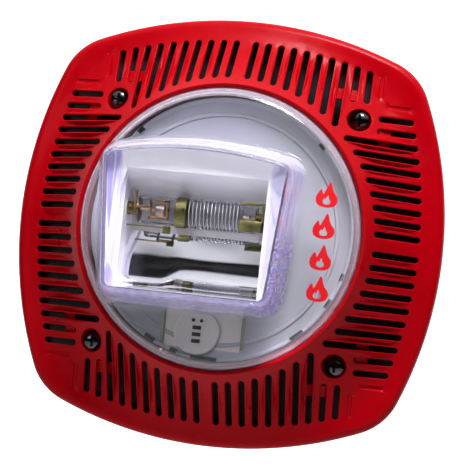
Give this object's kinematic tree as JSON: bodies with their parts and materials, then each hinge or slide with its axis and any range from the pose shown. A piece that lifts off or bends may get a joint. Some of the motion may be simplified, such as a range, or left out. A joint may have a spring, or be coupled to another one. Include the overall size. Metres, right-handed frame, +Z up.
{
  "type": "horn strobe",
  "caption": "Wall-mounted fire alarm horn strobe: red slotted rounded-square housing, clear lens with raised window over a flash tube, cone driver and terminals behind.",
  "frame": {"origin": "centre of the faceplate outline on the wall plane, midway between the four mounting screws", "axes": "+X to the viewer's right, +Y into the wall, away from the room, +Z up; the lens faces -Y"},
  "size_m": [0.1714, 0.0872, 0.1714],
  "materials": {
    "red_plastic": "glossy moulded housing",
    "black_screw": "black oxide, glossy",
    "clear_lens": "clear polycarbonate, slightly violet",
    "grey_cover": "satin moulded inner cover",
    "reflector_metal": "vacuum metallised, mirror bright",
    "tube_glass": "clear glass tube",
    "tube_metal": "tinned end cap, a little oxidised",
    "silicone": "soft white silicone",
    "nickel_wire": "drawn wire",
    "board_green": "solder resist",
    "capacitor_sleeve": "shrunk sleeve",
    "black_plastic": "fine textured moulding",
    "ferrite": "ground ferrite",
    "zinc_steel": "zinc plated",
    "basket_paint": "satin black paint",
    "foam": "closed cell foam",
    "surround_rubber": "matt rubber",
    "cone_paper": "coated pulp",
    "former_paper": "kraft former",
    "copper_wire": "enamelled copper",
    "spider_cloth": "resin stiffened cloth",
    "phenolic": "phenolic sheet with tinned tags",
    "terminal_plastic": "moulded terminal body",
    "plated_brass": "plated clamp",
    "ivory_plastic": "ivory moulding",
    "white_plastic": "white moulding",
    "red_wire": "insulated wire"
  },
  "bodies": {
    "base": {"faceplate": "red_plastic", "mounting_screws": "black_screw", "lens": "clear_lens", "strobe_cover": "grey_cover", "reflector": "reflector_metal", "flash_tube": "tube_glass", "tube_caps": "tube_metal", "tube_grommets": "silicone", "tube_leads": "nickel_wire", "trigger_wire": "nickel_wire", "strobe_board": "board_green", "flash_capacitor": "capacitor_sleeve", "trigger_transformer": "black_plastic", "boost_inductor": "ferrite", "board_parts": "black_plastic", "chassis": "black_plastic", "stack_screws": "zinc_steel", "plate_screws": "zinc_steel", "driver_basket": "basket_paint", "basket_gasket": "foam", "surround": "surround_rubber", "spider": "spider_cloth", "top_plate": "zinc_steel", "magnet": "ferrite", "yoke": "zinc_steel", "tag_strip": "phenolic", "driver_leads": "red_wire", "terminal_board": "board_green", "terminal_block": "terminal_plastic", "terminal_screws": "zinc_steel", "wire_clamps": "plated_brass", "tone_switch_body": "black_plastic", "board_harness": "red_wire", "rim_gasket": "foam"},
    "diaphragm": {"cone": "cone_paper", "dust_cap": "cone_paper", "voice_coil_former": "former_paper", "voice_coil": "copper_wire"},
    "tone_selector": {"tone_switch_rotor": "ivory_plastic"},
    "light_selector": {"slider": "white_plastic"}
  },
  "joints": [
    {"name": "diaphragm_travel", "type": "slide", "parent": "base", "child": "diaphragm", "axis": [0, -1, 0], "range_m": [-0.0008, 0.0008], "stiffness_N_per_m": 1000, "deforming": ["surround", "spider"]},
    {"name": "tone_switch_turn", "type": "hinge", "parent": "base", "child": "tone_selector", "pos_m": [-0.03, 0.0045, -0.053], "axis": [0, 1, 0], "continuous": true},
    {"name": "light_output_slide", "type": "slide", "parent": "base", "child": "light_selector", "axis": [1, 0, 0], "range_m": [0, 0.0075]}
  ]
}
